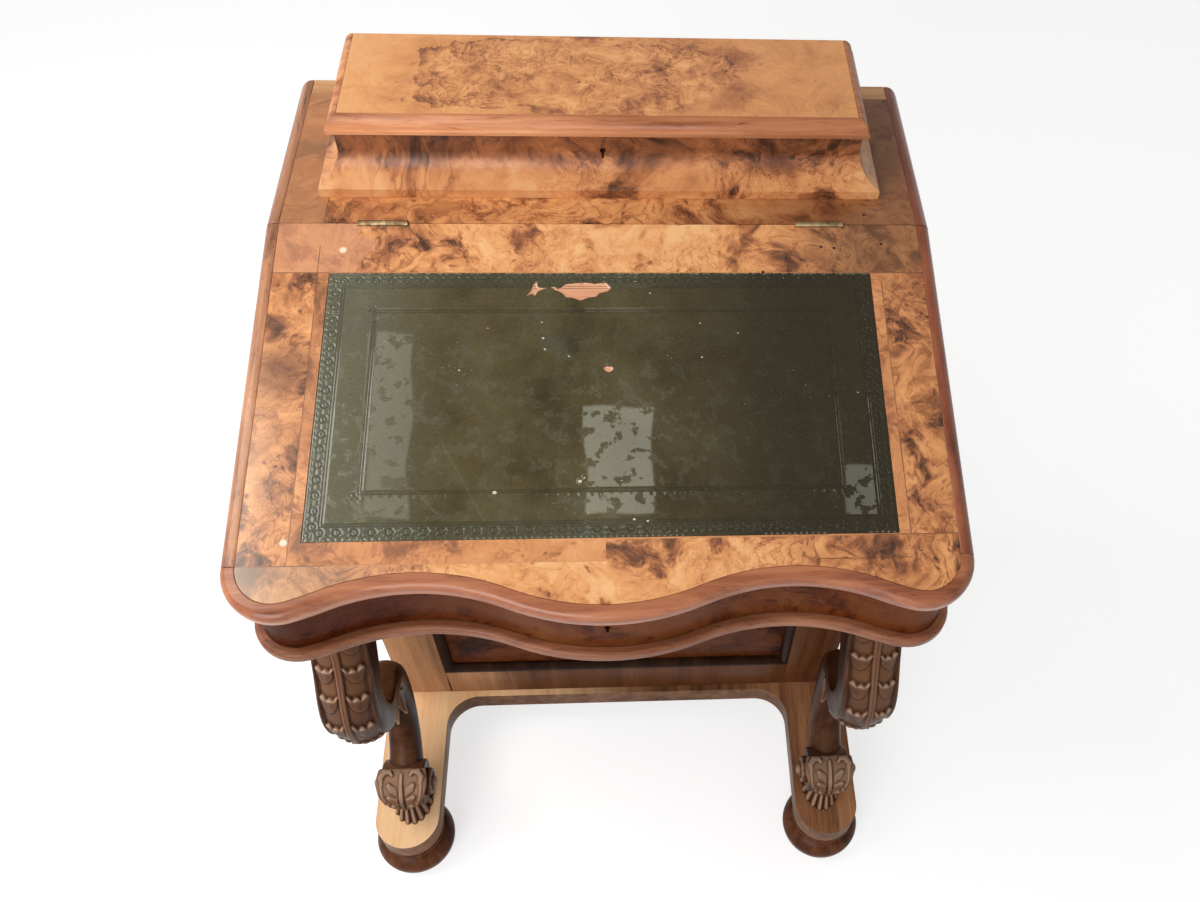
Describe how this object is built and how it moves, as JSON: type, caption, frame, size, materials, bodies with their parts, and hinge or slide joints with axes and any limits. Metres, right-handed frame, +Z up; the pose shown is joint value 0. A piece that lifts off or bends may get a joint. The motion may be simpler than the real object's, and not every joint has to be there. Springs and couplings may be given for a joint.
{
  "type": "davenport desk",
  "caption": "Sloped wooden writing desk on a drawer pedestal, with a hinged leather-lined lid, a lidded stationery box, carved scroll brackets and bun feet.",
  "frame": {"origin": "on the floor under the centre of the bounding box", "axes": "+Z up, -Y towards the sitter, +X to the sitter's right"},
  "size_m": [0.5762, 0.5262, 0.7783],
  "materials": {
    "burr_walnut": "polished veneer",
    "walnut_moulding": "polished",
    "walnut_frieze": "polished veneer",
    "carved_walnut": "waxed carving",
    "walnut_carcase": "polished veneer",
    "platform_walnut": "worn polish",
    "drawer_lining": "bare",
    "green_leather": "worn, tooled",
    "brass": "tarnished",
    "steel": "dull"
  },
  "bodies": {
    "desk": {"base_platform": "platform_walnut", "desk_back": "walnut_carcase", "desk_bottom": "drawer_lining", "desk_left_side": "walnut_carcase", "desk_right_side": "walnut_carcase", "drawer_rails": "walnut_carcase", "drawer_runners": "drawer_lining", "dummy_drawer_fronts": "walnut_carcase", "dummy_drawer_knobs": "carved_walnut", "dummy_drawer_rails": "walnut_carcase", "foot_front_left": "carved_walnut", "foot_front_right": "carved_walnut", "foot_rear_left": "carved_walnut", "foot_rear_right": "carved_walnut", "frieze_front": "walnut_frieze", "frieze_moulding": "walnut_moulding", "hinge_fixed_leaves": "brass", "hinge_pins": "steel", "letter_dividers": "drawer_lining", "lid_lock_case": "brass", "pedestal_back_frame": "walnut_carcase", "pedestal_back_moulding": "walnut_moulding", "pedestal_back_panel": "walnut_carcase", "pedestal_front_frame": "walnut_carcase", "pedestal_front_moulding": "walnut_moulding", "pedestal_front_panel": "walnut_carcase", "pedestal_left_side": "walnut_carcase", "scroll_bracket_left": "carved_walnut", "scroll_bracket_right": "carved_walnut", "stationery_back": "drawer_lining", "stationery_front": "burr_walnut", "stationery_lock_case": "brass", "stationery_sides": "burr_walnut", "top_board": "burr_walnut", "top_side_mouldings": "walnut_moulding"},
    "writing_lid": {"lid_panel": "burr_walnut", "lid_leather": "green_leather", "lid_front_moulding": "walnut_moulding", "lid_side_mouldings": "walnut_moulding", "lid_strike_plate": "brass", "lid_hinge_leaves": "brass"},
    "stationery_cover": {"stationery_lid": "burr_walnut", "stationery_lid_moulding": "walnut_moulding", "stationery_strike_plate": "brass", "stationery_lid_hinge_leaves": "brass"},
    "lid_bolt": {"lid_lock_bolt": "steel"},
    "stationery_bolt": {"stationery_lock_bolt": "steel"},
    "drawer_1": {"drawer_1_front": "walnut_carcase", "drawer_1_box": "drawer_lining", "drawer_1_knobs": "carved_walnut"},
    "drawer_2": {"drawer_2_front": "walnut_carcase", "drawer_2_box": "drawer_lining", "drawer_2_knobs": "carved_walnut"},
    "drawer_3": {"drawer_3_front": "walnut_carcase", "drawer_3_box": "drawer_lining", "drawer_3_knobs": "carved_walnut"},
    "drawer_4": {"drawer_4_front": "walnut_carcase", "drawer_4_box": "drawer_lining", "drawer_4_knobs": "carved_walnut"}
  },
  "joints": [
    {"name": "lid_hinge", "type": "hinge", "parent": "desk", "child": "writing_lid", "pos_m": [0, 0.07009, 0.714], "axis": [-1, 0, 0], "range_deg": [0, 110]},
    {"name": "stationery_lid_hinge", "type": "hinge", "parent": "desk", "child": "stationery_cover", "pos_m": [0, 0.23789, 0.76415], "axis": [-1, 0, 0], "range_deg": [0, 100]},
    {"name": "drawer_1_slide", "type": "slide", "parent": "desk", "child": "drawer_1", "axis": [1, 0, 0], "range_m": [0, 0.3]},
    {"name": "drawer_2_slide", "type": "slide", "parent": "desk", "child": "drawer_2", "axis": [1, 0, 0], "range_m": [0, 0.3]},
    {"name": "drawer_3_slide", "type": "slide", "parent": "desk", "child": "drawer_3", "axis": [1, 0, 0], "range_m": [0, 0.3]},
    {"name": "drawer_4_slide", "type": "slide", "parent": "desk", "child": "drawer_4", "axis": [1, 0, 0], "range_m": [0, 0.3]},
    {"name": "lid_bolt_slide", "type": "slide", "parent": "desk", "child": "lid_bolt", "axis": [0, 0, 1], "range_m": [0, 0.006]},
    {"name": "stationery_bolt_slide", "type": "slide", "parent": "desk", "child": "stationery_bolt", "axis": [0, 0, 1], "range_m": [0, 0.006]}
  ]
}
